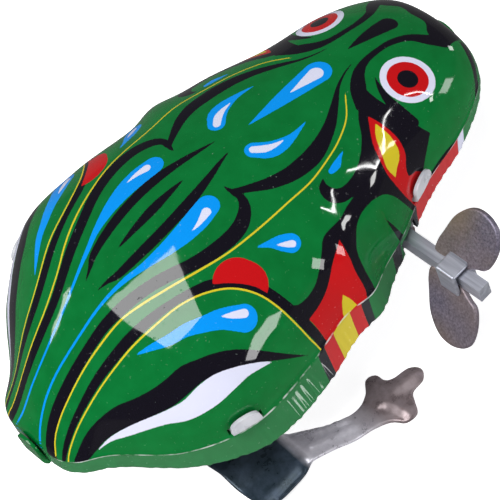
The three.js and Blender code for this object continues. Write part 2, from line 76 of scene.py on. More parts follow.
# ---- the body's form, in millimetres
# Stations are evenly spaced in angle from the tail to the nose, as in the frame.
HALF_WIDTH = [3, 6.6, 9.8, 17, 21, 21, 19.2, 18, 14.6, 13, 10.7, 7.6, 3.2]
CROWN = [0.8, 2.8, 7, 11, 15.2, 16.8, 16.4, 14.8, 13, 11.2, 8.6, 5.5, 0.8]
CROWN_POWER = [1.4, 1.6, 1.7, 1.3] + [0.82] * 9
BELLY_DEPTH = [1.5, 2.4, 3.6, 5.2, 7, 9, 10.2, 10.2, 9, 7, 5, 3.2, 2]
BELLY_POWER = 0.6
SKIRT_DROP = [2.8, 2.9, 3.1, 3.3, 3.3, 3.3, 3.2, 3.1, 2.9, 2.5, 2, 1.6, 1.4]
SKIRT_FLARE = [0, 0.1, 0.3, 0.7, 1.8, 2.1, 1.7, 0.4, 0.2, 0.1, 0, 0, 0]
SHOULDER_S = 41.5
SHOULDER_REACH = 3
SHOULDER_BUMP = 1.2
WALL = 0.5
GAP = 0.35


def through(values, t):
    """Smooth curve through values evenly spaced over 0..1."""
    values = np.asarray(values, float)
    slope = np.gradient(values)
    place = np.clip(t, 0, 1) * (len(values) - 1)
    i = np.minimum(place.astype(int), len(values) - 2)
    f = place - i
    blend = 3 * f**2 - 2 * f**3
    return (
        values[i] * (1 - blend)
        + values[i + 1] * blend
        + slope[i] * (f**3 - 2 * f**2 + f)
        + slope[i + 1] * (f**3 - f**2)
    )


def form(values, s):
    """One of the form lists above, read at distances s from the tail."""
    return through(values, np.arccos(np.clip(1 - 2 * np.asarray(s, float) / BODY_LENGTH, -1, 1)) / np.pi)


def half_width(s):
    bump = SHOULDER_BUMP * np.exp(-(((s - SHOULDER_S) / SHOULDER_REACH) ** 2))
    return form(HALF_WIDTH, s) + bump


# ---- objects
def new_object(name, data):
    """An object in the scene that shows a mesh, a light or a camera."""
    thing = bpy.data.objects.new(name, data)
    bpy.context.scene.collection.objects.link(thing)
    return thing


def mesh_object(name, verts, faces, materials):
    """A smooth mesh object from points in metres."""
    mesh = bpy.data.meshes.new(name)
    mesh.from_pydata([tuple(v) for v in verts], [], [tuple(f) for f in faces])
    mesh.update()
    for material in materials:
        mesh.materials.append(material)
    mesh.polygons.foreach_set("use_smooth", [True] * len(mesh.polygons))
    return new_object(name, mesh)


def use_piece(piece, body, slot, *nodes):
    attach(piece, body)
    if nodes:
        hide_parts(*nodes)


def apply_modifiers(piece):
    graph = bpy.context.evaluated_depsgraph_get()
    mesh = bpy.data.meshes.new_from_object(piece.evaluated_get(graph))
    piece.modifiers.clear()
    piece.data = mesh


# ---- node helpers
MIX_FIRST, MIX_SECOND, MIX_RESULT = 6, 7, 2  # a mix node's colour sockets


class Nodes:
    """Small builder for the node tree of a material or a world."""

    def __init__(self, owner, shader="Principled BSDF"):
        owner.use_nodes = True
        self.owner = owner
        self.tree = owner.node_tree
        self.shader = self.tree.nodes[shader]

    def add(self, kind, inputs=None, **settings):
        node = self.tree.nodes.new(kind)
        for key, value in settings.items():
            setattr(node, key, value)
        for key, value in (inputs or {}).items():
            self.feed(value, node.inputs[key])
        return node

    def feed(self, value, socket):
        """Links a socket to another or gives it a value; a colour is three numbers."""
        if isinstance(value, bpy.types.NodeSocket):
            self.tree.links.new(value, socket)
        else:
            socket.default_value = (*value, 1) if socket.type == "RGBA" else value

    def set(self, **inputs):
        names = {name.replace(" ", "_").lower(): name for name in self.shader.inputs.keys()}
        for key, value in inputs.items():
            self.feed(value, self.shader.inputs[names[key]])

    def math(self, operation, a, b=0.0):
        node = self.add("ShaderNodeMath", operation=operation)
        self.feed(a, node.inputs[0])
        self.feed(b, node.inputs[1])
        return node.outputs[0]

    def times(self, a, b):
        return self.math("MULTIPLY", a, b)

    def field(self, name):
        """A value stored at the mesh's points."""
        return self.add("ShaderNodeAttribute", attribute_name=name).outputs["Fac"]

    def noise(self, scale, detail=3.0, stretch=(1, 1, 1), roughness=0.5):
        """Noise in object space, scale in features per metre, stretched by axis."""
        place = self.add("ShaderNodeTexCoord").outputs["Object"]
        turned = self.add("ShaderNodeMapping", {"Vector": place, "Scale": stretch})
        node = self.add(
            "ShaderNodeTexNoise",
            {"Vector": turned.outputs[0], "Scale": scale, "Detail": detail, "Roughness": roughness},
        )
        return node.outputs["Fac"]

    def ramp(self, value, low, high, to_low=0.0, to_high=1.0):
        node = self.add("ShaderNodeMapRange")
        for socket, number in enumerate((value, low, high, to_low, to_high)):
            self.feed(number, node.inputs[socket])
        return node.outputs[0]

    def mix(self, share, a, b):
        node = self.add("ShaderNodeMix", data_type="RGBA")
        self.feed(share, node.inputs[0])
        self.feed(a, node.inputs[MIX_FIRST])
        self.feed(b, node.inputs[MIX_SECOND])
        return node.outputs[MIX_RESULT]

    def bump(self, height, distance, strength=1.0):
        return self.add(
            "ShaderNodeBump", {"Height": height, "Distance": distance, "Strength": strength}
        ).outputs[0]


# ---- the print
# Outlines on the frog's right half, in (s, across) millimetres; the left half mirrors them.
# A brush stroke is a list of (s, across, half width) along its middle. An area is a closed list
# of smooth runs, each starting where the one before it ends.
PRINT_SHIFT = 0.3  # the sheet was pressed this far off centre

BLACK_STROKES = {
    "back leaf": [(22, 0, 0.05), (25, 0, 0.45), (28.5, 0, 0.7), (31.5, 0, 0.45), (33.9, 0, 0.05)],
    "back streak": [
        (16.9, 1.1, 0.05), (18.5, 1.7, 0.3), (20, 2.4, 0.55), (24, 3, 0.72), (28, 3.2, 0.75), (32, 3, 0.75),
        (36, 2.3, 0.5), (38.5, 1.7, 0.28), (40.4, 1.3, 0.05),
    ],
    "rear outline": [
        (0, 4.4, 0.8), (2, 3.5, 0.8), (6, 3.5, 0.75), (10, 3.75, 0.72), (14, 4.3, 0.73), (18, 5.6, 0.8),
        (22, 7.1, 0.8), (26, 8.9, 0.85), (29, 9.8, 0.95), (32, 10.1, 1), (34.2, 9.7, 0.95), (36, 8.5, 0.72),
        (36.7, 7.2, 0.5), (36.6, 6.2, 0.42), (36.3, 4.5, 0.05),
    ],
    "front outline": [
        (36.3, 5.4, 0.15), (37.2, 6.3, 0.42), (38.6, 7.2, 0.6), (40.6, 8.3, 0.85), (43, 9, 1.05),
        (45.2, 9.1, 1.15), (47.2, 8.9, 1.15), (49.5, 8.2, 0.95), (52, 7, 0.72), (54.6, 5.2, 0.45),
        (56.8, 3.6, 0.22), (58.8, 2.65, 0.12), (60.4, 2.2, 0.05),
    ],
    "thigh outline": [
        (0.5, 6.3, 0.3), (2, 6.05, 0.42), (6, 6.35, 0.5), (10, 6.85, 0.62), (14, 7.8, 0.68),
        (18, 9.15, 0.62), (22, 10.55, 0.5), (24, 11.4, 0.58), (26, 12.4, 0.65), (28, 14.2, 0.7),
        (29.4, 16, 0.7), (30.3, 18, 0.65), (31, 21, 0.65), (31.6, 25, 0.7), (32.2, 29, 0.68),
        (32.6, 34.5, 0.65),
    ],
    "thigh stripe": [
        (1.5, 8.2, 0.5), (4, 9.3, 1.1), (6, 10.1, 1.15), (8, 11.3, 1.2), (10, 13, 1.2), (12, 14.5, 1.25),
        (14, 15.8, 1.4), (16, 16.7, 1.45), (18, 17.8, 1.2), (20, 19.1, 1.15), (22, 20.6, 1),
        (24, 22.5, 0.75), (26, 24.7, 0.5), (28, 27, 0.22), (29.7, 29, 0.05),
    ],
    "arm slit": [(48.6, 21.1, 0.05), (49, 23.3, 0.28), (49.5, 25.8, 0.5), (49.8, 28, 0.7)],
    "eye socket": [
        (56.5, 7.6, 0.6), (58.2, 5.6, 1), (60, 3.9, 0.75), (62, 3.05, 0.5), (65, 2.8, 0.42),
        (67, 2.95, 0.5), (69, 3.6, 0.6), (70.6, 5, 0.9), (72, 6.2, 0.9),
    ],
    "under eye": [(61, 5.7, 0.05), (60.3, 7.3, 0.35), (59.9, 9.1, 0.6), (60, 11.1, 0.75), (60.4, 13.3, 0.7)],
    "forehead leaf": [(62, 0, 0.05), (64.5, 0, 0.65), (67, 0, 1.05), (68.8, 0, 1.25)],
    "jaw line": [
        (58.4, 22, 0.42), (61.9, 20.8, 0.42), (64.6, 20.2, 0.42), (67.7, 19.2, 0.42), (70, 17.7, 0.42),
        (71.5, 15.4, 0.42), (72.7, 12.7, 0.42), (73.8, 9.6, 0.42), (74.6, 6.9, 0.42),
    ],
}
BLACK_AREAS = {
    "arm and face": [
        [(44.4, 12.6), (43.9, 13.9), (44.3, 15.1), (45.6, 15.9), (47.4, 16)],
        [(45.4, 16.5), (43.5, 17.2), (40.4, 17.6), (39, 18.8), (37.3, 20.4), (35.8, 21.5)],
        [(34.2, 22), (32.3, 21.9), (31.3, 21)], [(31.5, 25)],
        [(34.2, 24.4), (36.2, 23.6), (37.7, 22.4), (39.2, 20.9), (40.5, 20)],
        [(40.6, 25), (40.6, 29), (40.4, 34.5)], [(42, 34.5)], [(54.6, 26.4)], [(54.8, 24.5)],
        [(57.8, 22.6)], [(57.7, 20)], [(58.3, 19.2), (59.6, 17.7), (61.4, 15.8)],
        [(60.6, 14), (60.4, 12.2), (59.3, 9.6), (58.9, 7.6), (59, 5.8), (59.5, 4.6)],
        [(58.8, 4.4), (58.1, 5.8), (56.5, 7.3), (55, 8.8), (53.5, 10.8), (51.9, 12.3)],
        [(50, 13.5), (48.1, 14.15), (46.5, 14.2), (45.7, 13.6), (45.5, 12.7), (45.8, 11.9)],
    ],
    "nose": [
        [(72.8, 2.2), (71.6, 3.9), (71.3, 5.4), (72.4, 6.9)], [(74.5, 6.2), (76.5, 5.5)], [(76.5, -5.5)],
        [(74.5, -6.2), (72.4, -6.9)], [(71.3, -5.4), (71.6, -3.9), (72.8, -2.2), (72.6, 0)],
    ],
}
GREEN_AREAS = {
    "arm": [
        [(42, 25), (42.4, 22.3), (43.3, 20.8), (44.8, 19.2), (46.5, 18.3), (48.5, 17.95)],
        [(50.4, 18.3), (51.5, 19.4), (52.3, 21.3), (53.1, 23.5), (53.4, 24.6)], [(52, 26.4), (50, 27.6)],
        [(47.5, 28.6), (45, 34.5)], [(42.1, 34.5)], [(42.1, 28.3)],
    ],
}
RED_AREAS = {
    "side flame": [
        [(39.3, 20.8), (37.7, 22.3), (36.2, 23.5), (34.2, 24.3), (32.3, 24.6)],
        [(32.6, 26.5), (33, 30.3), (33.3, 34.5)], [(40.2, 34.5)],
        [(40.5, 29.6), (40.8, 28.1), (40.8, 24.2), (41.2, 21.9), (41.6, 19.2)],
    ],
    "mouth flame": [
        [(55, 10.8), (54, 12.3), (53.4, 13.8), (52.7, 16.5), (52.8, 18.8), (53.2, 21.1)],
        [(54, 23.6), (54.4, 24.9)], [(55.6, 24.3), (58.9, 22.2)], [(57.9, 20.4), (56.6, 19)],
        [(55.3, 18.8), (55.7, 17.3), (56.6, 16.1), (57.2, 13.8), (56.9, 11.1), (56.3, 9.1)],
    ],
}
YELLOW_AREAS = {
    "side flame": [
        [(37.4, 27), (36.9, 28.8), (36.5, 30.4), (35.8, 34.5)], [(38.9, 34.5)],
        [(39.1, 30.2), (38.7, 27.7), (38, 25.8)],
    ],
    "mouth flame": [
        [(55, 11.8), (54, 13.9), (53.2, 16), (53.4, 17.6)], [(54.4, 16.7), (55.3, 16.1)],
        [(56.2, 15), (56.6, 12.7), (56.3, 10.4)],
    ],
}
YELLOW_STROKES = {
    "side line": [
        (0.5, 4.9, 0.1), (2, 4.2, 0.1), (6, 4.35, 0.1), (10, 4.65, 0.11), (13, 5.15, 0.12),
        (16, 5.95, 0.12), (19, 7.3, 0.14), (22, 8.6, 0.14), (26, 10.05, 0.14), (30, 11.15, 0.12),
        (34, 11.55, 0.12), (40, 11.6, 0.11), (44, 11.4, 0.11), (48, 10.45, 0.1), (51, 9.4, 0.1),
        (54, 7.7, 0.09), (56.4, 5.2, 0.08),
    ],
    "thigh line": [
        (1, 6.9, 0.1), (2, 6.7, 0.1), (6, 7.1, 0.1), (10, 7.75, 0.1), (14, 8.7, 0.11), (18, 10.1, 0.12),
        (22, 11.3, 0.12), (25, 12.7, 0.12), (27.5, 14.6, 0.12), (29.2, 17.2, 0.12), (30, 20, 0.12),
        (30.5, 23.5, 0.11), (31, 27, 0.11), (31.6, 30.1, 0.11), (32, 34.5, 0.11),
    ],
}
RED_STROKES = {"shoulder spot": [(28.5, 14.6, 3.1), (28.9, 15.3, 3)]}
THIGH = [  # no part of the shoulder spot is printed here
    [(14, 7.8), (22, 10.5), (26, 12.4), (29.4, 16), (30.6, 20), (31.6, 25), (32.6, 36), (0, 36), (0, 6)],
]
BLUE_STROKES = {
    "crown drop": [(45, 0, 0.05), (50, 0, 0.95), (53.5, 0, 1.45), (56.7, 0, 1.85)],
    "shoulder drop": [
        (42.6, 3.4, 1.15), (43.9, 4.7, 1.25), (45.5, 5.2, 0.95), (47.5, 5.25, 0.45), (50, 4.8, 0.05),
    ],
    "rear drop": [
        (0, 2.4, 0.15), (2, 1.6, 0.15), (6, 1.4, 0.15), (10, 1.7, 0.16), (14, 2.2, 0.18), (17, 2.8, 0.22),
        (20, 3.6, 0.35), (22, 4.3, 0.45), (24, 4.8, 0.7), (26, 5.2, 1), (28.5, 5.45, 1.35), (31, 5.4, 1.55),
        (33.1, 5.1, 1.5),
    ],
    "thigh drop": [
        (14.3, 9.8, 0.05), (16, 11.1, 0.35), (18, 12.6, 0.6), (20, 13.6, 0.75), (22, 14.9, 0.95),
        (24, 16.2, 1.25), (26, 18.1, 1.7),
    ],
    "arm drop": [(33.3, 13.1, 0.05), (34.8, 13.9, 0.5), (36, 14.8, 1.05), (36.8, 15.5, 1.25)],
    "cheek drop": [(47.2, 11.9, 0.35), (48.3, 11.7, 0.5), (49.3, 11.2, 0.25), (50.3, 10.8, 0.05)],
}
WHITE_STROKES = {
    "crown drop": [(52.1, 0, 0.05), (54.5, 0, 0.6), (56.4, 0, 1)],
    "shoulder drop": [(42.6, 3.3, 0.5), (43.6, 4.2, 0.55), (44.8, 4.7, 0.35), (46.2, 4.9, 0.05)],
    "rear drop": [(29.4, 6.05, 0.05), (30.8, 5.95, 0.3), (32.4, 5.55, 0.6)],
    "thigh drop": [(24.1, 15.9, 0.05), (25.2, 16.8, 0.4), (26.4, 17.7, 0.55)],
    "arm drop": [(35.3, 14.5, 0.05), (36.2, 15.2, 0.35), (36.9, 15.7, 0.45)],
    "thigh stripe": [
        (4.3, 10.8, 0.05), (6, 11.7, 0.22), (8, 13.4, 0.45), (10, 15.2, 0.55), (12, 17, 0.68),
        (14, 18.8, 1.05), (16, 19.9, 1.45), (18, 20.9, 1.55), (20, 21.8, 1.2), (22, 22.7, 0.72),
        (24, 23.9, 0.33), (25.1, 24.7, 0.05),
    ],
}
EYE = (64, 8.35)
EYE_WHITE, EYE_RED, EYE_BLACK = 3.45, 2.6, 1.3
RED_LAP = 0.4  # the eye's red runs on under its white ring
BLACK_LAP = 0.6  # and its black under the red
FAR = 2.0  # distances to ink are cut off here
WIDEST = 2.0  # how far a stroke's middle is looked for beyond that


def curve_point(a, b, c, d, f):
    """Catmull-Rom point a share f of the way from b to c."""
    square = 2 * a - 5 * b + 4 * c - d
    cube = 3 * b - a - 3 * c + d
    return 0.5 * (2 * b + (c - a) * f + square * f**2 + cube * f**3)


def spline(points, step=0.5):
    """Points about step apart on a smooth curve through the given ones."""
    points = np.asarray(points, float)
    padded = np.vstack([2 * points[0] - points[1], points, 2 * points[-1] - points[-2]])
    out = [points[0]]
    for a, b, c, d in zip(padded, padded[1:], padded[2:], padded[3:]):
        count = max(2, int(np.linalg.norm((c - b)[:2]) / step))
        out += [curve_point(a, b, c, d, k / count) for k in range(1, count + 1)]
    return np.array(out)


def segment_gap(place, start, along):
    """How far each place is from a segment, and the share along it where it comes closest."""
    offset = place - start
    f = np.clip(offset @ along / max(along @ along, 1e-9), 0, 1)
    return np.linalg.norm(offset - f[:, None] * along, axis=1), f


def near_path(place, path, margin):
    """Indices of the places within margin of the box round a path."""
    low, high = path.min(0) - margin, path.max(0) + margin
    return np.flatnonzero(((place > low) & (place < high)).all(1))


def stroke_distance(place, points):
    """Distance from each place to a brush stroke, negative inside it."""
    path = spline(points)
    distance = np.full(len(place), FAR)
    near = near_path(place, path[:, :2], FAR + WIDEST)
    here = place[near]
    best = np.full(len(near), FAR)
    for a, b in zip(path, path[1:]):
        close = np.flatnonzero(np.abs(here - (a[:2] + b[:2]) / 2).max(1) < FAR + WIDEST + 0.5)
        gap, f = segment_gap(here[close], a[:2], b[:2] - a[:2])
        best[close] = np.minimum(best[close], gap - (a[2] + f * (b[2] - a[2])))
    distance[near] = best
    return distance


def line_offset(place, points):
    """A thin line's offset and gap at each place.

    The offset is in half widths of the line and its sign gives the side; the gap is in millimetres.
    """
    path = spline(points)
    nearest = np.full(len(place), FAR)
    gap = np.full(len(place), FAR)
    for a, b in zip(path, path[1:]):
        along = b[:2] - a[:2]
        away, f = segment_gap(place, a[:2], along)
        offset = place - a[:2]
        side = np.sign(along[0] * offset[:, 1] - along[1] * offset[:, 0])
        closer = away < gap
        gap = np.where(closer, away, gap)
        nearest = np.where(closer, side * away / (a[2] + f * (b[2] - a[2])), nearest)
    return nearest, gap


def area_distance(place, runs):
    """Distance from each place to an area's outline, negative inside."""
    starts = [runs[k - 1][-1] for k in range(len(runs))]
    chained = [[start] + run for start, run in zip(starts, runs)]
    path = np.vstack([spline(run) if len(run) > 2 else np.array(run, float) for run in chained])
    distance = np.full(len(place), FAR)
    near = near_path(place, path, FAR)
    here = place[near]
    best = np.full(len(near), FAR)
    inside = np.zeros(len(near), bool)
    for a, b in zip(path, np.roll(path, -1, axis=0)):
        gap, _ = segment_gap(here, a, b - a)
        best = np.minimum(best, gap)
        spans = (a[1] > here[:, 1]) != (b[1] > here[:, 1])
        crossing = a[0] + (here[:, 1] - a[1]) / ((b - a)[1] or 1e-9) * (b - a)[0]
        inside ^= spans & (here[:, 0] < crossing)
    distance[near] = np.where(inside, -best, best)
    return distance


def union(distances):
    return np.minimum.reduce(distances)


def strokes_distance(place, group):
    return union([stroke_distance(place, points) for points in group.values()])


def areas_distance(place, group):
    return union([area_distance(place, runs) for runs in group.values()])


def print_inks(s, across):
    """The print's fields at each place on the sheet.

    An ink's field is the distance to it in millimetres, negative where it is printed. The thin
    yellow lines have two fields, from the nearest of them, as line_offset gives them.
    """
    place = np.column_stack([s, np.abs(across + PRINT_SHIFT)])
    eye = np.linalg.norm(place - np.array(EYE), axis=1)
    pupil = eye - EYE_BLACK - BLACK_LAP
    iris = np.maximum(eye - EYE_RED - RED_LAP, EYE_BLACK - eye)
    eye_ring = np.maximum(eye - EYE_WHITE, EYE_RED - eye)
    face = np.maximum(areas_distance(place, BLACK_AREAS), -areas_distance(place, GREEN_AREAS))
    spot = np.maximum(strokes_distance(place, RED_STROKES), -area_distance(place, THIGH))
    offsets, gaps = zip(*[line_offset(place, points) for points in YELLOW_STROKES.values()])
    nearest = np.argmin(gaps, axis=0)
    every = np.arange(len(place))
    return {
        "ink_black": union([face, strokes_distance(place, BLACK_STROKES), pupil]),
        "ink_red": union([areas_distance(place, RED_AREAS), spot, iris]),
        "ink_yellow": areas_distance(place, YELLOW_AREAS),
        "ink_blue": strokes_distance(place, BLUE_STROKES),
        "ink_white": union([strokes_distance(place, WHITE_STROKES), eye_ring]),
        "line_offset": np.array(offsets)[nearest, every],
        "line_gap": np.array(gaps)[nearest, every],
    }


# Bands of ink down the skirt, as (ink, from s, to s); the rest of it is green.
SKIRT_BANDS = [
    ("ink_black", 30.9, 32.3),
    ("ink_red", 32.3, 34.4),
    ("ink_yellow", 34.4, 37.8),
    ("ink_red", 37.8, 39.6),
    ("ink_black", 39.6, 40.8),
    ("ink_black", 47.2, 49.2),
    ("ink_black", 52.4, 54.4),
    ("ink_red", 54.4, 65),
    ("ink_white", 65, 66.6),
]


SKIRT_START = 0.15  # they begin this far below the seam
SKIRT_LEAN = 0.3  # and drift this far towards the tail for each millimetre down


def print_skirt(inks, s, below):
    """Lays the skirt's own bands over the fields of the sheet below the seam."""
    s = s + SKIRT_LEAN * below
    for name in inks:
        bands = [np.maximum(low - s, s - high) for ink, low, high in SKIRT_BANDS if ink == name]
        laid = union([*bands, np.full(len(s), FAR)])
        inks[name] = np.where(below > SKIRT_START, laid, inks[name])


# ---- the pressed shell
ROWS = 380  # outer rows from tail to nose
DOME_COLUMNS = 160  # outer columns from the crown to the seam
SKIRT_COLUMNS = 14
COARSE = 5  # the inner face keeps every fifth row and column
SEAM_BEAD = 0.16  # the fold along the seam stands this proud
SEAM_BEAD_REACH = 0.3
BEAD_STRENGTH = [0, 0.5, 1, 1, 1, 1, 1, 1, 1, 1, 0.8, 0.5, 0]
EDGE_RIPPLE = 0.14  # the lower edge was crimped by hand
RIPPLE_REACH = 3  # the ripple is full this far below the seam
RIPPLE_WAVES = [(1.9, 0), (0.83, 1), (3.7, 0)]  # waves that never line up, as (rate along s, shift)
PROFILE_STEPS = 400
PROFILE_ROWS = 305


def dome_section(s, inset):
    """Half sections, crown to seam, at distances s: length over the sheet, x and z in millimetres."""
    angle = np.linspace(np.pi / 2, 0, PROFILE_STEPS)
    width = (half_width(s) - inset)[:, None]
    crown = (form(CROWN, s) - inset)[:, None]
    power = form(CROWN_POWER, s)[:, None]
    x = width * np.cos(angle)
    z = crown * np.clip(np.sin(angle), 0, 1) ** power
    step = np.hypot(np.diff(x, axis=1), np.diff(z, axis=1))
    length = np.concatenate([np.zeros((len(s), 1)), np.cumsum(step, axis=1)], axis=1)
    return length, x, z


def half_grid(s, inset, dome_columns, skirt_columns):
    """Points of the right half, crown to skirt edge, as x and z arrays of rows by columns."""
    length, x, z = dome_section(s, inset)
    share = np.linspace(0, 1, dome_columns + 1)
    xs = np.array([np.interp(share * l[-1], l, row) for l, row in zip(length, x)])
    zs = np.array([np.interp(share * l[-1], l, row) for l, row in zip(length, z)])
    down = np.linspace(0, 1, skirt_columns + 1)[1:]
    skirt_x = (half_width(s) - inset)[:, None] + form(SKIRT_FLARE, s)[:, None] * down
    skirt_z = -form(SKIRT_DROP, s)[:, None] * down
    x, z = np.hstack([xs, skirt_x]), np.hstack([zs, skirt_z])
    if inset == 0:
        x = x + SEAM_BEAD * np.exp(-((z / SEAM_BEAD_REACH) ** 2)) * form(BEAD_STRENGTH, s)[:, None]
        ripple = np.prod([np.sin(s * rate + shift) for rate, shift in RIPPLE_WAVES], axis=0)
        x = x + EDGE_RIPPLE * ripple[:, None] * np.clip(-z / RIPPLE_REACH, 0, 1)
    return x, z


def shell_face(s, inset, dome_columns, skirt_columns):
    """The whole sheet face as points (rows, columns, 3) in world metres, right edge to left edge."""
    x, z = half_grid(s, inset, dome_columns, skirt_columns)
    across = np.hstack([-x[:, ::-1], x[:, 1:]])
    height = np.hstack([z[:, ::-1], z[:, 1:]])
    squeeze = (BODY_LENGTH - 2 * inset) / BODY_LENGTH
    points = np.empty(across.shape + (3,))
    points[..., 0] = MID_X + across * MM
    points[..., 1] = TAIL_Y - BODY_LENGTH / 2 * MM + (BODY_LENGTH / 2 - s)[:, None] * squeeze * MM
    points[..., 2] = SEAM_Z + height * MM
    return points


def grid_faces(rows, columns, start, flip):
    """Faces of a sheet's face, closed at the tail and the nose from its right edge to its left."""
    faces = []
    for i in range(rows - 1):
        for j in range(columns - 1):
            a = start + i * columns + j
            quad = (a, a + 1, a + columns + 1, a + columns)
            faces.append(quad[::-1] if flip else quad)
    for i, tail in ((0, True), (rows - 1, False)):
        for j in range(columns // 2):
            a = start + i * columns + j
            b = start + i * columns + columns - 1 - j
            quad = (a, b, b - 1, a + 1) if b - 1 != a + 1 else (a, b, a + 1)
            faces.append(quad if tail != flip else quad[::-1])
    return faces


def closed_sheet(outer, inner, coarse):
    """Points and faces of a sheet of tin from its two faces, and how many of its faces are outside.

    The inner face has every coarse-th row of the outer one, and the cut rim joins them.
    """
    rows, columns = outer.shape[:2]
    inner_rows, inner_columns = inner.shape[:2]
    start = rows * columns
    faces = grid_faces(rows, columns, 0, False)
    outside = len(faces)
    faces += grid_faces(inner_rows, inner_columns, start, True)
    for k in range(inner_rows - 1):
        for edge, inner_edge, right in ((0, 0, True), (columns - 1, inner_columns - 1, False)):
            run = [(k * coarse + i) * columns + edge for i in range(coarse + 1)]
            back = [start + (k + 1) * inner_columns + inner_edge, start + k * inner_columns + inner_edge]
            faces.append(run + back if right else (run + back)[::-1])
    tail_rim = (0, start, start + inner_columns - 1, columns - 1)
    nose = (rows - 1) * columns
    inner_nose = start + (inner_rows - 1) * inner_columns
    nose_rim = (nose, nose + columns - 1, inner_nose + inner_columns - 1, inner_nose)
    faces += [tail_rim, nose_rim]
    return np.vstack([outer.reshape(-1, 3), inner.reshape(-1, 3)]), faces, outside


def build_shell():
    """The dome and skirt as one closed sheet: a fine outside, a coarser inside and the cut rim."""
    s = np.linspace(0, BODY_LENGTH, ROWS + 1)
    outer = shell_face(s, 0, DOME_COLUMNS, SKIRT_COLUMNS)
    inner = shell_face(s[::COARSE], WALL, DOME_COLUMNS // COARSE, 2)
    return closed_sheet(outer, inner, COARSE)


def sheet_place(points):
    """(s, across, below) of world points on the outer face: below is the distance under the seam."""
    s = np.clip((TAIL_Y - points[:, 1]) / MM, 0, BODY_LENGTH)
    x = (points[:, 0] - MID_X) / MM
    z = (points[:, 2] - SEAM_Z) / MM
    length, _, _ = dome_section(np.linspace(0, BODY_LENGTH, PROFILE_ROWS), 0)
    sine = np.clip(z / form(CROWN, s), 0, None) ** (1 / form(CROWN_POWER, s))
    here = np.arctan2(sine, np.abs(x) / half_width(s))
    row = s / BODY_LENGTH * (PROFILE_ROWS - 1)
    i = np.minimum(row.astype(int), PROFILE_ROWS - 2)
    column = (np.pi / 2 - here) / (np.pi / 2) * (PROFILE_STEPS - 1)
    j = np.clip(column.astype(int), 0, PROFILE_STEPS - 2)
    f, g = row - i, np.clip(column - j, 0, 1)
    over = (
        length[i, j] * (1 - f) * (1 - g)
        + length[i + 1, j] * f * (1 - g)
        + length[i, j + 1] * (1 - f) * g
        + length[i + 1, j + 1] * f * g
    )
    drop = form(SKIRT_DROP, s)
    below = np.clip(-z, 0, drop)
    over = over + below * np.hypot(drop, form(SKIRT_FLARE, s)) / drop
    return s, -np.sign(x) * over, below


INKS = {
    "ink_black": (0.004, 0.003, 0.007),
    "ink_red": (0.5, 0.004, 0.006),
    "ink_yellow": (0.62, 0.5, 0.02),
    "ink_blue": (0.0, 0.27, 0.8),
    "ink_white": (0.66, 0.67, 0.82),
}


def printed_colours(n):
    """Five inks over green, each laid where its distance is negative, with slightly uneven edges."""
    paint = n.mix(n.ramp(n.noise(420, 4), 0.3, 0.7), (0.0, 0.135, 0.023), (0.001, 0.16, 0.03))
    wobble = n.times(n.math("SUBTRACT", n.noise(2600, 2), 0.5), 0.09)
    for name, ink in INKS.items():
        edge = n.math("ADD", n.field(name), wobble)
        paint = n.mix(n.ramp(edge, 0.03, -0.03), paint, ink)
        if name == "ink_black":
            on_line = n.ramp(n.math("ABSOLUTE", n.field("line_offset")), 1.2, 0.8)
            line = n.times(on_line, n.ramp(n.field("line_gap"), 0.45, 0.3))
            paint = n.mix(line, paint, INKS["ink_yellow"])
    return paint


def wear_and_painted_light(n, paint):
    """Pale specks, a painted reflection paling the skirt, and a painted highlight on rubbed bare metal along the
    seam's fold.
    """
    specks = n.ramp(n.noise(1500, 2), 0.74, 0.8)
    paint = n.mix(n.times(specks, 0.25), paint, (0.4, 0.5, 0.45))
    below = n.field("below_seam")
    # painted reflection: the skirt is paled towards grey-white, as if it mirrored the pale floor
    paint = n.mix(n.ramp(below, 0.1, 0.5, 0, 0.055), paint, (0.55, 0.6, 0.62))
    # the bright line on the fold is partly rubbed bare metal and partly a painted highlight of the crease
    fold = n.times(n.ramp(below, 0.0, 0.05), n.ramp(below, 0.3, 0.22))
    worn_and_highlight = n.times(fold, n.ramp(n.noise(520, 3), 0.42, 0.6))
    return n.mix(n.times(worn_and_highlight, 0.75), paint, (0.7, 0.72, 0.72))


def printed_tin():
    """Glossy lithographed tin, with a few dull pits and a faint unevenness of the sheet."""
    n = Nodes(bpy.data.materials.new("printed_tin"))
    gloss = n.ramp(n.noise(700, 3), 0.35, 0.75, 0.03, 0.08)
    pits = n.ramp(n.noise(1900, 3), 0.66, 0.72)
    n.set(base_color=wear_and_painted_light(n, printed_colours(n)), metallic=0.0, ior=1.52)
    n.set(roughness=n.math("ADD", gloss, n.times(pits, 0.4)))
    n.set(normal=n.bump(n.noise(160, 2), 0.00012, 0.35))
    return n.owner


def steel(
    name, dark, light, roughness, scale=900.0, stretch=(1, 1, 1), tint=None, metallic=1.0, zones=()
):
    """Steel with grain in its colour and roughness, fine scratches and, if asked, a warm tint.

    Each zone is (y where it starts, y where it is full, dark, light), read from the piece's rest_y.
    """
    n = Nodes(bpy.data.materials.new(name))
    grain = n.noise(scale, 5, stretch, 0.65)
    paint = n.mix(n.ramp(grain, 0.3, 0.7), dark, light)
    if tint:
        paint = n.mix(n.times(n.ramp(n.noise(90, 1), 0.4, 0.7), 0.7), paint, tint)
    # each zone repaints part of the steel; on the legs the knee's zone is painted shade
    for start, full, zone_dark, zone_light in zones:
        edge = n.math("ADD", n.field("rest_y"), n.times(n.noise(300, 3), 1.5 * MM))
        darker_zone = n.mix(n.ramp(grain, 0.35, 0.65), zone_dark, zone_light)
        paint = n.mix(n.ramp(edge, start, full), paint, darker_zone)
    scratches = n.noise(2600, 2, (1, 0.06, 1))
    height = n.math("ADD", grain, n.times(scratches, 0.5))
    n.set(base_color=paint, metallic=metallic)
    n.set(roughness=n.ramp(grain, 0.25, 0.75, roughness * 0.75, roughness * 1.3))
    n.set(normal=n.bump(height, 0.000015, 0.3))
    return n.owner


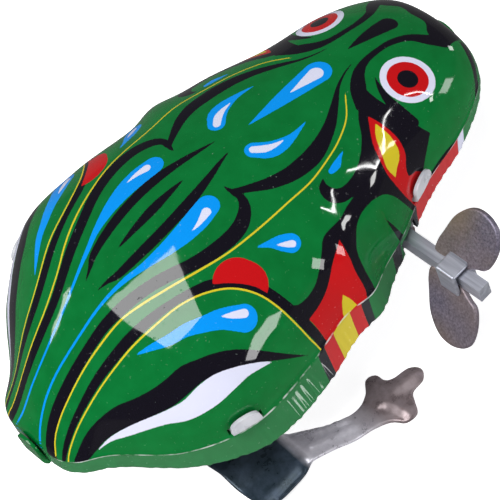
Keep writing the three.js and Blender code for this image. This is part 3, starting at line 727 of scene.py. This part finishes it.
def lacquer(name, dark, light, roughness):
    """Thick glossy lacquer on tin, with a slight orange-peel surface."""
    n = Nodes(bpy.data.materials.new(name))
    cloud = n.noise(300, 3)
    n.set(base_color=n.mix(n.ramp(cloud, 0.3, 0.7), dark, light), ior=1.5)
    n.set(roughness=n.ramp(n.noise(900, 3), 0.3, 0.7, roughness * 0.6, roughness * 1.6))
    n.set(normal=n.bump(n.noise(500, 2), 0.00005, 0.3))
    return n.owner


LEG_ZONES = (  # a darker, browner foot, and a knee painted dark navy as painted shade
    (9 * MM, 5 * MM, (0.2, 0.155, 0.16), (0.34, 0.28, 0.29)),
    # painted shade: the knee's dark navy stands for the body's shadow and the dark room it reflects
    (15.6 * MM, 17.1 * MM, (0.015, 0.03, 0.04), (0.05, 0.075, 0.11)),
)
BARE_TIN = steel("bare_tin", (0.34, 0.34, 0.32), (0.5, 0.5, 0.48), 0.35)
FINISHES = {
    "printed_tin": lacquer("green_tin", (0.0, 0.13, 0.022), (0.002, 0.17, 0.032), 0.1),
    "belly_tin": lacquer("belly_tin", (0.14, 0.14, 0.15), (0.2, 0.2, 0.21), 0.25),
    "white_tin": lacquer("white_tin", (0.44, 0.45, 0.49), (0.62, 0.62, 0.66), 0.3),
    "plate_steel": steel("plate_steel", (0.3, 0.3, 0.3), (0.42, 0.42, 0.42), 0.38),
    "shaft_steel": steel(
        "shaft_steel", (0.38, 0.4, 0.47), (0.66, 0.68, 0.76), 0.36, 1400, (0.05, 1, 1), metallic=0.7
    ),
    "key_steel": steel(
        "key_steel", (0.1, 0.095, 0.14), (0.35, 0.31, 0.39), 0.5, 3200, tint=(0.36, 0.25, 0.13), metallic=0.7
    ),
    "leg_steel": steel(
        "leg_steel", (0.62, 0.6, 0.67), (0.95, 0.93, 1), 0.3, 500, metallic=0.45, zones=LEG_ZONES
    ),
    "spring_steel": steel("spring_steel", (0.04, 0.05, 0.08), (0.08, 0.1, 0.14), 0.3, 1200),
    "brass": steel("brass", (0.42, 0.27, 0.08), (0.6, 0.42, 0.15), 0.3, 900),
}


def cut_boxes(piece, boxes):
    """Cuts box-shaped holes, each given as (place and turn matrix, size in millimetres)."""
    solid = bmesh.new()
    for matrix, size in boxes:
        scale = Matrix.Diagonal((*[length * MM for length in size], 1))
        bmesh.ops.create_cube(solid, size=1, matrix=matrix @ scale)
    mesh = bpy.data.meshes.new("cutter")
    solid.to_mesh(mesh)
    solid.free()
    cutter = new_object("cutter", mesh)
    modifier = piece.modifiers.new("cut", "BOOLEAN")
    modifier.operation = "DIFFERENCE"
    modifier.solver = "EXACT"
    modifier.object = cutter
    apply_modifiers(piece)
    bpy.data.objects.remove(cutter)


def face_outwards(piece):
    """Turns the faces of a closed piece so that they all look out."""
    solid = bmesh.new()
    solid.from_mesh(piece.data)
    bmesh.ops.recalc_face_normals(solid, faces=solid.faces)
    solid.to_mesh(piece.data)
    solid.free()


def add_bevel(piece, width, segments=2, sharper_than=35):
    """Rounds the edges that turn by more than an angle in degrees."""
    bevel = piece.modifiers.new("edges", "BEVEL")
    bevel.width = width * MM
    bevel.segments = segments
    bevel.limit_method = "ANGLE"
    bevel.angle_limit = math.radians(sharper_than)
    return bevel


def round_edges(piece, width, segments=2):
    """Rounds a solid's edges and keeps its flat faces looking flat."""
    add_bevel(piece, width, segments).harden_normals = True
    for polygon in piece.data.polygons:
        polygon.use_smooth = True


def seam_frame(s, side):
    """Local frame on the seam: x outwards, y along the seam, z up."""
    slope = float(half_width(s + 0.5) - half_width(s - 0.5))
    out = Vector((side, slope, 0)).normalized()
    up = Vector((0, 0, 1))
    turn = Matrix((out, up.cross(out), up)).transposed().to_4x4()
    return Matrix.Translation((MID_X + side * float(half_width(s)) * MM, TAIL_Y - s * MM, SEAM_Z)) @ turn


TABS = {
    "tab_mouth_right": (56.2, -1),
    "tab_mouth_left": (56.2, 1),
    "tab_hind_right": (18.3, -1),
    "tab_hind_left": (18.3, 1),
}
TAB_WIDTH = 4.1
SLOT_HEIGHT = 0.85  # the tabs' slots are this far above the seam
SLOT_SIZE = (3, TAB_WIDTH + 0.7, 1.2)
SHAFT_CUT = 3.8  # the notch that the key's shaft comes out of is this wide
NOTCH_DEPTH = 5  # and reaches this far below the seam, past the skirt's edge


def shell_cuts():
    """The tabs' slots, and the notch in the skirt for the key's shaft."""
    slot = Matrix.Translation((-WALL * MM, 0, SLOT_HEIGHT * MM))
    cuts = [(seam_frame(s, side) @ slot, SLOT_SIZE) for s, side in TABS.values()]
    x = MID_X - float(half_width((TAIL_Y - KEY_AXIS.y) / MM)) * MM
    low = SEAM_Z - NOTCH_DEPTH * MM
    high = KEY_AXIS.z + SHAFT_CUT / 2 * MM
    notch = Matrix.Translation((x, KEY_AXIS.y, (low + high) / 2))
    return cuts + [(notch, (6, SHAFT_CUT, (high - low) / MM))]


def make_shell():
    points, faces, outside = build_shell()
    piece = mesh_object("printed_shell", points, faces, [printed_tin(), BARE_TIN])
    inner = np.zeros(len(piece.data.polygons), np.int32)
    inner[outside:] = 1
    piece.data.polygons.foreach_set("material_index", inner)
    cut_boxes(piece, shell_cuts())
    mesh = piece.data
    position = np.empty(len(mesh.vertices) * 3)
    mesh.vertices.foreach_get("co", position)
    s, across, below = sheet_place(position.reshape(-1, 3))
    fields = print_inks(s, across)
    print_skirt(fields, s, below)
    fields["below_seam"] = below
    for name, values in fields.items():
        attribute = mesh.attributes.new(name, "FLOAT", "POINT")
        attribute.data.foreach_set("value", values.astype(np.float32))
    use_piece(piece, "frog_body", "printed_tin", "upper_shell")


# ---- sheet metal pieces
def ring(points, step=0.35):
    """Points about step apart on a closed smooth curve through the given ones."""
    points = [Vector(p) for p in points]
    out = []
    for k, b in enumerate(points):
        a, c, d = points[k - 1], points[(k + 1) % len(points)], points[(k + 2) % len(points)]
        count = max(2, int((c - b).length / step))
        out += [curve_point(a, b, c, d, i / count) for i in range(count)]
    return out


def inside_outline(point, outline):
    inside = False
    for a, b in zip(outline, outline[1:] + outline[:1]):
        if (a.y > point.y) != (b.y > point.y):
            if point.x < a.x + (point.y - a.y) / (b.y - a.y) * (b.x - a.x):
                inside = not inside
    return inside


def on_sheet(point, loops):
    """Whether a point is inside the first loop and outside the others, which are holes."""
    return inside_outline(point, loops[0]) and not any(inside_outline(point, hole) for hole in loops[1:])


def grid_points(loops, spacing):
    """Points of a square grid on the sheet that aren't too close to its rim."""
    rim = np.array([tuple(p) for loop in loops for p in loop])
    low, high = np.min([tuple(p) for p in loops[0]], 0), np.max([tuple(p) for p in loops[0]], 0)
    steps = ((high - low) / spacing).astype(int) + 1
    places = [Vector(low + (np.array(cell) + 0.5) * spacing) for cell in np.ndindex(*steps)]
    clear = [p for p in places if np.hypot(*(rim - np.array(p)).T).min() > spacing * 0.6]
    return [p for p in clear if on_sheet(p, loops)]


def sheet(name, outline, place, thickness, material, spacing=0.45, holes=()):
    """A thin sheet with an eased rim, cut to an outline in millimetres and laid by place(u, v)."""
    loops = [list(outline)] + [list(hole) for hole in holes]
    edges = []
    for loop in loops:
        start = len(edges)
        edges += [(start + k, start + (k + 1) % len(loop)) for k in range(len(loop))]
    points = [p for loop in loops for p in loop] + grid_points(loops, spacing)
    flat, _, triangles, *_ = delaunay_2d_cdt(points, edges, [], 1, 1e-6)
    kept = [t for t in triangles if on_sheet(sum((flat[k] for k in t), Vector((0, 0))) / 3, loops)]
    piece = mesh_object(name, [place(p.x, p.y) for p in flat], kept, [material])
    solidify = piece.modifiers.new("sheet", "SOLIDIFY")
    solidify.thickness = thickness * MM
    solidify.offset = 0
    add_bevel(piece, min(0.18, thickness * 0.3), sharper_than=55)
    apply_modifiers(piece)
    return piece


def joined(name, pieces):
    """One object from several, keeping their materials."""
    whole = bmesh.new()
    for piece in pieces:
        whole.from_mesh(piece.data)
    mesh = bpy.data.meshes.new(name)
    whole.to_mesh(mesh)
    whole.free()
    for material in pieces[0].data.materials:
        mesh.materials.append(material)
    for piece in pieces:
        bpy.data.objects.remove(piece)
    return new_object(name, mesh)


def smooth_step(value, low, high):
    f = min(max((value - low) / (high - low), 0), 1)
    return f * f * (3 - 2 * f)


def ridge(x, y, points, reach):
    """How high a pressed rib along a line of points stands at (x, y), from 0 to 1."""
    best = 9.0
    for a, b in zip(points, points[1:]):
        a, b = Vector(a), Vector(b)
        along = b - a
        f = min(max((Vector((x, y)) - a).dot(along) / along.length_squared, 0), 1)
        best = min(best, (Vector((x, y)) - a - f * along).length)
    return math.exp(-((best / reach) ** 2))


# The legs are sheets drawn in x outwards from the middle and y towards the tail, in millimetres.
LEG_OUTLINE = [
    (13, 15.7), (13, 19.5), (13, 24), (16.5, 24.2), (20, 24.2), (22.2, 23.3), (23.2, 21.2), (23.3, 18),
    (23.2, 15.2), (23.9, 12), (24.9, 9), (25.3, 6.4), (26.3, 4.2), (27.9, 3), (28.1, 1.2), (26.6, 0.1),
    (25.5, -0.8), (25.3, -2.9), (24.1, -3.8), (22.7, -2.8), (22.2, -0.7), (21.4, 0.3), (20, 0.5),
    (19.5, 1.8), (20.9, 3.4), (21.7, 5.6), (21.2, 9), (19.6, 12), (17.6, 14.6), (15.6, 15.6),
]
EAR_OUTLINE = [  # y and z from the legs' shaft, which passes through the ear
    (-3.5, -6.3), (-3.2, -4.5), (-1.9, 0.4), (0, 2), (1.9, 0.4), (2.4, -4.5), (2.6, -6.3), (-0.4, -6.4),
]
EAR_X = 13.3
EAR_BORE = 1.35  # radius of the shaft's hole
KNEE_TOP = ([13, 17, 20, 22, 22.9], [5.6, 5.4, 4.4, 3, 1.7])
SHIN_TOP = ([-4, 3, 6, 9, 12, 15, 17.2], [0.6, 0.6, 0.9, 1.5, 2.2, 2.9, 3.6])
LEG_SHEET = 0.6
KNEE_EDGE = (14.6, 16.6)  # the sheet steps up from the shin to the knee between these
RIB_ENDS = ((6.5, 8.5), (13.5, 14.8))  # the shin's ribs rise and die away between these
SHIN_RIBS = [[(19, 14.2), (20.6, 11), (22.2, 7.6)], [(21.4, 14.2), (22.5, 11), (23.4, 7.6)]]
TOE_RIBS = [[(23.4, 2.4), (20.8, 1.7)], [(23.4, 3.2), (24, -2.6)], [(23.6, 2.4), (27, 1.9)]]


def leg_height(x, y):
    """Middle of the leg sheet above the ground, in millimetres."""
    knee = float(np.interp(x, *KNEE_TOP))
    shin = float(np.interp(y, *SHIN_TOP))
    height = shin + (knee - shin) * smooth_step(y, *KNEE_EDGE)
    on_shin = smooth_step(y, *RIB_ENDS[0]) * (1 - smooth_step(y, *RIB_ENDS[1]))
    ribs = max(ridge(x, y, line, 0.35) for line in SHIN_RIBS) * on_shin * 0.5
    toes = max(ridge(x, y, line, 0.75) for line in TOE_RIBS) * 0.4
    return height + ribs + toes - LEG_SHEET / 2


def make_hind_leg(node, side):
    axis_y, axis_z = LEG_AXIS.y / MM, LEG_AXIS.z / MM

    def lay(x, y):
        return at(side * x, y, leg_height(x, y))

    def stand(y, z):
        return at(side * EAR_X, axis_y + y, axis_z + z)

    turns = np.linspace(0, 2 * math.pi, 24, endpoint=False)
    bore = [Vector((EAR_BORE * math.cos(a), EAR_BORE * math.sin(a))) for a in turns]
    foot = sheet(f"{node}_plate", ring(LEG_OUTLINE), lay, LEG_SHEET, FINISHES["leg_steel"])
    ear = sheet(f"{node}_ear", ring(EAR_OUTLINE), stand, LEG_SHEET, FINISHES["leg_steel"], 0.9, [bore])
    leg = joined(f"{node}_sheet", [foot, ear])
    rest_y = leg.data.attributes.new("rest_y", "FLOAT", "POINT")
    rest_y.data.foreach_set("value", [vertex.co.y for vertex in leg.data.vertices])
    use_piece(leg, "hind_legs", "leg_steel", node)


FRONT_FOOT = [
    (5, -15), (4.6, -16.6), (3.7, -18), (4.3, -19), (5.4, -18.8), (6.5, -18.2), (7.6, -18.8), (8.7, -19),
    (9.3, -18), (8.4, -16.6), (8, -15), (8, -14.4), (6.5, -14.4), (5, -14.4),
]
FRONT_STEM = [  # x and z, standing at the back of the foot
    (5, 0.2), (5, 2), (5, 3.6), (5, 5.2), (6.5, 5.3), (8, 5.2), (8, 3.6), (8, 2), (8, 0.2), (6.5, 0.15),
]
FRONT_STEM_Y = -14.7
FRONT_TOES = [[(6.5, -15.5), (4.6, -18.4)], [(6.5, -15.5), (8.4, -18.4)]]


def make_front_leg(node, side):
    def lay(x, y):
        return at(side * x, y, 0.3 + 0.2 * max(ridge(x, y, toe, 0.5) for toe in FRONT_TOES))

    def stand(x, z):
        return at(side * x, FRONT_STEM_Y, z)

    foot = sheet(f"{node}_foot", ring(FRONT_FOOT), lay, LEG_SHEET, FINISHES["leg_steel"])
    stem = sheet(f"{node}_stem", ring(FRONT_STEM), stand, LEG_SHEET, FINISHES["leg_steel"])
    use_piece(joined(f"{node}_sheet", [foot, stem]), "frog_body", "leg_steel", node)


def tab_outline(half, straight, rounded, rise, power, first, count):
    """A tab's outline, as (across, along): straight sides, then an end that rises to a round top."""
    left = [(-half, 0), (-half, 1), (-half, straight)]
    turns = np.linspace(first, math.pi - first, count)
    end = [(-half * math.cos(a), rounded + rise * math.sin(a) ** power) for a in turns]
    right = [(-x, y) for x, y in reversed(left)]
    return [Vector(point) for point in left + end + right + [(0, 0)]]


TAB_BEND = 1.4  # the tab turns up this far along its length
TAB_START = -1  # and begins this far inside the seam


def make_tab(node):
    """A bent tab: out through its slot, then folded up flat against the dome, with a rounded end."""
    s, side = TABS[node]
    seam = seam_frame(s, side)
    half = TAB_WIDTH / 2

    def lay(along, path):
        corner = smooth_step(path, TAB_BEND - 0.5, TAB_BEND + 0.5)
        crown = 0.1 * (1 - (along / half) ** 2)
        out = TAB_START + min(path, TAB_BEND) + (0.12 + crown) * corner
        out -= 0.08 * max(path - TAB_BEND - 0.6, 0)
        up = SLOT_HEIGHT + max(path - TAB_BEND, 0)
        return seam @ Vector((out * MM, along * MM, up * MM))

    outline = tab_outline(half, 2.2, 2.35, 1.3, 0.8, 0.15, 13)
    piece = sheet(f"{node}_sheet", outline, lay, 0.5, FINISHES["white_tin"], 0.3)
    use_piece(piece, "frog_body", "white_tin", node)


def make_end_tab(node, facing):
    """The small round tab that folds up round the skirt's edge at the tail or the nose."""
    low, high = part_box(node)
    half = (high.x - low.x) / 2 / MM - 0.4
    outer = (high.y if facing > 0 else -low.y) / MM - 0.25
    length = 1.25
    start = outer - length
    floor_z = low.z / MM + 0.25
    shoulder = length + (high.z - low.z) / MM + 0.1 - half * 0.8

    def lay(across, path):
        along = min(max(path, 0), length)
        up = max(path - length, 0)
        round_in = 0.25 * math.exp(-((path - length) ** 2) / 0.15)
        return at(across, facing * (start + along - round_in), floor_z + up)

    outline = tab_outline(half, shoulder, shoulder, half * 0.8, 1, 0.25, 11)
    piece = sheet(f"{node}_sheet", outline, lay, 0.45, FINISHES["printed_tin"], 0.35)
    use_piece(piece, "frog_body", "printed_tin", node)


# ---- the key
WING_X = -25.1
WING_TILT = math.radians(33)
LOBE = [  # outwards along the shaft, and out from its axis
    (-3.7, 1.2), (-3.9, 2.6), (-3.4, 4.3), (-2.2, 7.5), (0, 9.7), (2.6, 9.9), (4.8, 8.5), (5.2, 5.8),
    (4.4, 3.1), (3, 2.3), (1.3, 1.4), (-1, 1.1),
]
COLLAR_X = (-26.6, -23.4)
COLLAR_Y, COLLAR_Z, COLLAR_WALL = 1.9, 2.2, 0.65


def make_collar():
    """The folded sleeve that grips the flat shaft: a square tube with rounded edges."""
    verts = []
    for x in COLLAR_X:
        for wall in (0, COLLAR_WALL):
            for across, up in ((-1, -1), (1, -1), (1, 1), (-1, 1)):
                y = KEY_AXIS.y + across * (COLLAR_Y - wall) * MM
                verts.append((MID_X + x * MM, y, KEY_AXIS.z + up * (COLLAR_Z - wall) * MM))
    faces = []
    for first, second in ((0, 8), (12, 4), (4, 0), (8, 12)):
        for k in range(4):
            after = (k + 1) % 4
            faces.append((first + k, first + after, second + after, second + k))
    collar = mesh_object("key_collar", verts, faces, [FINISHES["shaft_steel"]])
    face_outwards(collar)
    round_edges(collar, 0.45, 4)
    apply_modifiers(collar)
    use_piece(collar, "key", "key_steel", "key_wings")


def make_lobes():
    """The two grained lobes of the key's wing sheet, slightly dished."""
    up = Vector((0, -math.sin(WING_TILT), math.cos(WING_TILT)))
    face = Vector((0, up.z, -up.y))

    def wing(end):
        def lay(along, out):
            dish = 0.25 * (along / 5) ** 2 - 0.1
            return KEY_AXIS + Vector(((WING_X - along) * MM, 0, 0)) + end * out * MM * up + dish * MM * face

        return sheet(f"wing_{end}", ring(LOBE), lay, 0.8, FINISHES["key_steel"])

    use_piece(joined("key_lobes", [wing(1), wing(-1)]), "key", "key_steel", "key_wings")


# ---- belly and movement
BELLY_ROWS, BELLY_COLUMNS = 110, 60
BELLY_RIM, BELLY_BEND = -0.5, -1.2  # the tray's rim and the foot of its upright edge, from the seam
BELLY_CUTS = [  # place and size: foot tabs of the movement's plates, then the legs' ears
    ((8, -9, 5), (1.5, 4.7, 12)),
    ((8, 9, 5), (1.5, 4.7, 12)),
    ((EAR_X, 17.75, 6), (2.4, 17.5, 12)),
]


def belly_face(s, inset):
    """One face of the tray, from rim to rim, as points (rows, columns, 3) in world metres."""
    width = (half_width(s) - inset)[:, None]
    depth = (form(BELLY_DEPTH, s) - (inset - WALL - GAP))[:, None]
    angle = np.linspace(0, np.pi, BELLY_COLUMNS + 1)
    rim = np.full_like(width, BELLY_RIM)
    x = np.hstack([width, width * np.cos(angle), -width])
    z = np.hstack([rim, BELLY_BEND - depth * np.clip(np.sin(angle), 0, 1) ** BELLY_POWER, rim])
    squeeze = (BODY_LENGTH - 2 * inset) / BODY_LENGTH
    y = (BODY_LENGTH / 2 - s)[:, None] * squeeze + 0 * x
    middle_y = TAIL_Y - BODY_LENGTH / 2 * MM
    return np.stack([MID_X + x * MM, middle_y + y * MM, SEAM_Z + z * MM], axis=-1)


def make_belly():
    """The tray under the body, finer than the frame's, with the same cuts."""
    s = np.linspace(0, BODY_LENGTH, BELLY_ROWS + 1)
    points, faces, _ = closed_sheet(belly_face(s, WALL + GAP), belly_face(s, 2 * WALL + GAP), 1)
    piece = mesh_object("belly_tray", points, faces, [FINISHES["belly_tin"]])
    face_outwards(piece)
    cuts = [
        (Matrix.Translation(at(side * x, y, z)), size)
        for side in (-1, 1)
        for (x, y, z), size in BELLY_CUTS
    ]
    shaft = Matrix.Translation((MID_X - 20 * MM, KEY_AXIS.y, KEY_AXIS.z))
    cut_boxes(piece, cuts + [(shaft, (20, SHAFT_CUT, SHAFT_CUT))])
    use_piece(piece, "frog_body", "belly_tin", "belly_plate")


def finish_frame_nodes():
    """The movement and the small parts keep the frame's shape, with eased edges and their own finishes."""
    slots = {part["node"]: part["material_slot"] for part in frame["record"]["subparts"]}
    for name, node in frame["nodes"].items():
        if node.hide_render:
            continue
        node.data.materials.clear()
        node.data.materials.append(FINISHES[slots[name]])
        if name not in ("mainspring", "leg_return_spring"):
            round_edges(node, 0.12)


make_shell()
make_belly()
for tab in TABS:
    make_tab(tab)
for hand, sign in (("right", -1), ("left", 1)):
    make_hind_leg(f"hind_leg_{hand}", sign)
    make_front_leg(f"front_leg_{hand}", sign)
make_end_tab("tab_tail", 1)
make_end_tab("tab_nose", -1)
make_collar()
make_lobes()
finish_frame_nodes()


# ---- floor, light and camera
FLOOR_REACH = 2  # metres each way


def make_floor():
    """Pale paper that grows lighter away from the object, and looks dark in its reflections."""
    n = Nodes(bpy.data.materials.new("floor_paper"))
    reach = n.add("ShaderNodeVectorMath", operation="LENGTH")
    n.feed(n.add("ShaderNodeTexCoord").outputs["Object"], reach.inputs[0])
    near = n.ramp(reach.outputs["Value"], 0.12, 0.5, 0.82, 1.0)
    mirrored = n.add("ShaderNodeLightPath").outputs["Is Glossy Ray"]
    grain = n.ramp(n.noise(300, 3), 0.3, 0.7)
    paper = n.mix(grain, (0.8, 0.8, 0.8), (0.84, 0.84, 0.84))
    dark = n.times(mirrored, 0.95)
    n.set(base_color=n.mix(dark, paper, (0.02, 0.02, 0.02)), roughness=0.8)
    n.set(specular_ior_level=0.0, emission_color=(1, 1, 1))
    n.set(emission_strength=n.times(near, n.ramp(mirrored, 0, 1, 1, 0.12)))
    corners = [(x * FLOOR_REACH, y * FLOOR_REACH, 0) for x, y in ((-1, -1), (1, -1), (1, 1), (-1, 1))]
    mesh_object("floor", corners, [(0, 1, 2, 3)], [n.owner])


def area_light(name, direction, size, tall, radiance, along=(0, 0, 1), distance=0.6):
    """A soft box seen from the body in that direction: size runs along the given line, in metres."""
    light = bpy.data.lights.new(name, "AREA")
    light.shape = "RECTANGLE"
    light.size = size
    light.size_y = tall
    light.energy = math.pi * radiance * size * tall
    lamp = new_object(name, light)
    back = Vector(direction).normalized()
    line = Vector(along)
    line = (line - line.dot(back) * back).normalized()
    turn = Matrix((line, back.cross(line), back)).transposed().to_4x4()
    lamp.matrix_world = Matrix.Translation(Vector((MID_X, 0, SEAM_Z)) + back * distance) @ turn


def make_world():
    """White behind the object, and dim in its reflections."""
    n = Nodes(bpy.data.worlds.new("studio"), "Background")
    bpy.context.scene.world = n.owner
    seen = n.add("ShaderNodeLightPath").outputs["Is Camera Ray"]
    n.set(color=n.mix(seen, (0.1, 0.1, 0.11), (1, 1, 1)), strength=1)


def make_lights():
    area_light("window", (0.02, 0.39, 0.92), 0.5, 0.42, 7, (0.22, 0.87, -0.43))
    area_light("face_strip", (-0.51, -0.75, 0.42), 0.26, 0.009, 28, (-0.09, -0.06, -0.3))
    area_light("cheek_box", (-0.62, -0.76, 0.21), 0.05, 0.035, 13, (-0.14, 0.06, -0.13))
    area_light("side_box", (-0.95, -0.25, 0.19), 0.15, 0.13, 8, (-0.11, 0.3, -0.23))
    area_light("head_box", (-0.52, -0.86, 0.05), 0.1, 0.1, 6)
    area_light("nose_box", (-0.02, -1, 0.05), 0.05, 0.04, 8)
    area_light("tail_lamp", (0.68, 0.59, 0.43), 0.05, 0.03, 8)


# The camera's direction from the body's middle, its roll, and how far it looks past that middle.
VIEW_AZIMUTH = math.radians(245.85)
VIEW_ELEVATION = math.radians(54.47)
VIEW_ROLL = math.radians(-24.93)
VIEW_DISTANCE = 0.3355
VIEW_RIGHT = 1.01 * MM
VIEW_UP = -2.44 * MM
LENS = 189.2


def make_camera():
    data = bpy.data.cameras.new("camera")
    data.sensor_width = 36
    data.lens = LENS
    data.clip_start = 0.01
    camera = new_object("camera", data)
    level = math.cos(VIEW_ELEVATION)
    back = Vector((level * math.sin(VIEW_AZIMUTH), -level * math.cos(VIEW_AZIMUTH), math.sin(VIEW_ELEVATION)))
    flat_right = Vector((0, 0, 1)).cross(back).normalized()
    flat_up = back.cross(flat_right)
    right = math.cos(VIEW_ROLL) * flat_right + math.sin(VIEW_ROLL) * flat_up
    up = -math.sin(VIEW_ROLL) * flat_right + math.cos(VIEW_ROLL) * flat_up
    middle = Vector((MID_X, TAIL_Y - BODY_LENGTH / 2 * MM, SEAM_Z))
    place = middle + back * VIEW_DISTANCE + right * VIEW_RIGHT + up * VIEW_UP
    turn = Matrix((right, up, back)).transposed().to_4x4()
    camera.matrix_world = Matrix.Translation(place) @ turn
    bpy.context.scene.camera = camera


make_floor()
make_world()
make_lights()
make_camera()
bpy.context.scene.view_settings.view_transform = "Standard"
